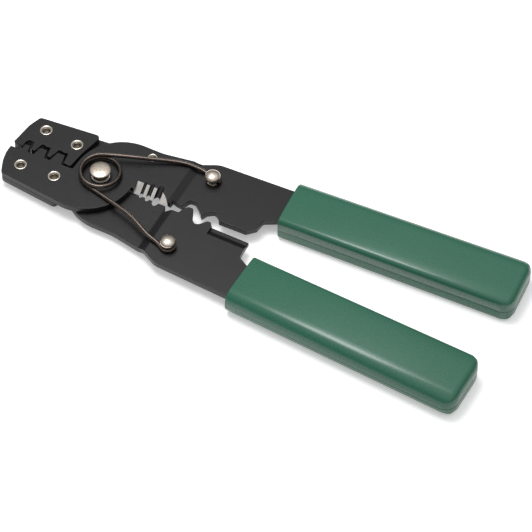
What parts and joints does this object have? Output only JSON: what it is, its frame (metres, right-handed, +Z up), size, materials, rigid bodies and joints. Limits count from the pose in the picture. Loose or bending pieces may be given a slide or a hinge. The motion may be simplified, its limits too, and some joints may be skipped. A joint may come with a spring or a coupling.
{
  "type": "crimping tool",
  "caption": "Hand crimping tool with laminated nose dies, wire shear, stripping notches, rear crimping nests, return spring and moulded grips.",
  "frame": {"origin": "middle of the tool's bounding box, on its underside, as it lies flat", "axes": "+X towards the ends of the grips, +Y towards the grip of the lever that lies on top at the pivot, +Z up, along the pivot"},
  "size_m": [0.1902, 0.0684, 0.0115],
  "materials": {
    "black_coated_steel": "satin black coating on stamped steel",
    "nickel_plate": "bright nickel plating",
    "spring_wire": "dark drawn spring wire",
    "green_plastic": "satin moulded green plastic"
  },
  "bodies": {
    "upper_handle_side": {"upper_lever": "black_coated_steel", "lower_jaw_die_plate": "black_coated_steel", "lower_jaw_front_eyelet": "nickel_plate", "lower_jaw_rear_eyelet": "nickel_plate", "lever_eyelet": "nickel_plate", "pivot_rivet": "nickel_plate", "pivot_washer": "nickel_plate", "upper_spring_post": "nickel_plate", "return_spring": "spring_wire", "upper_grip": "green_plastic"},
    "lower_handle_side": {"lower_lever": "black_coated_steel", "upper_jaw_die_plate": "black_coated_steel", "upper_jaw_front_eyelet": "nickel_plate", "upper_jaw_rear_eyelet": "nickel_plate", "lower_spring_post": "nickel_plate", "lower_grip": "green_plastic"}
  },
  "joints": [
    {"name": "lever_pivot", "type": "hinge", "parent": "upper_handle_side", "child": "lower_handle_side", "pos_m": [-0.05956, 0, 0.0053], "axis": [0, 0, -1], "range_deg": [-3, 12], "stiffness_Nm_per_rad": 1.2, "deforming": ["return_spring"]}
  ]
}
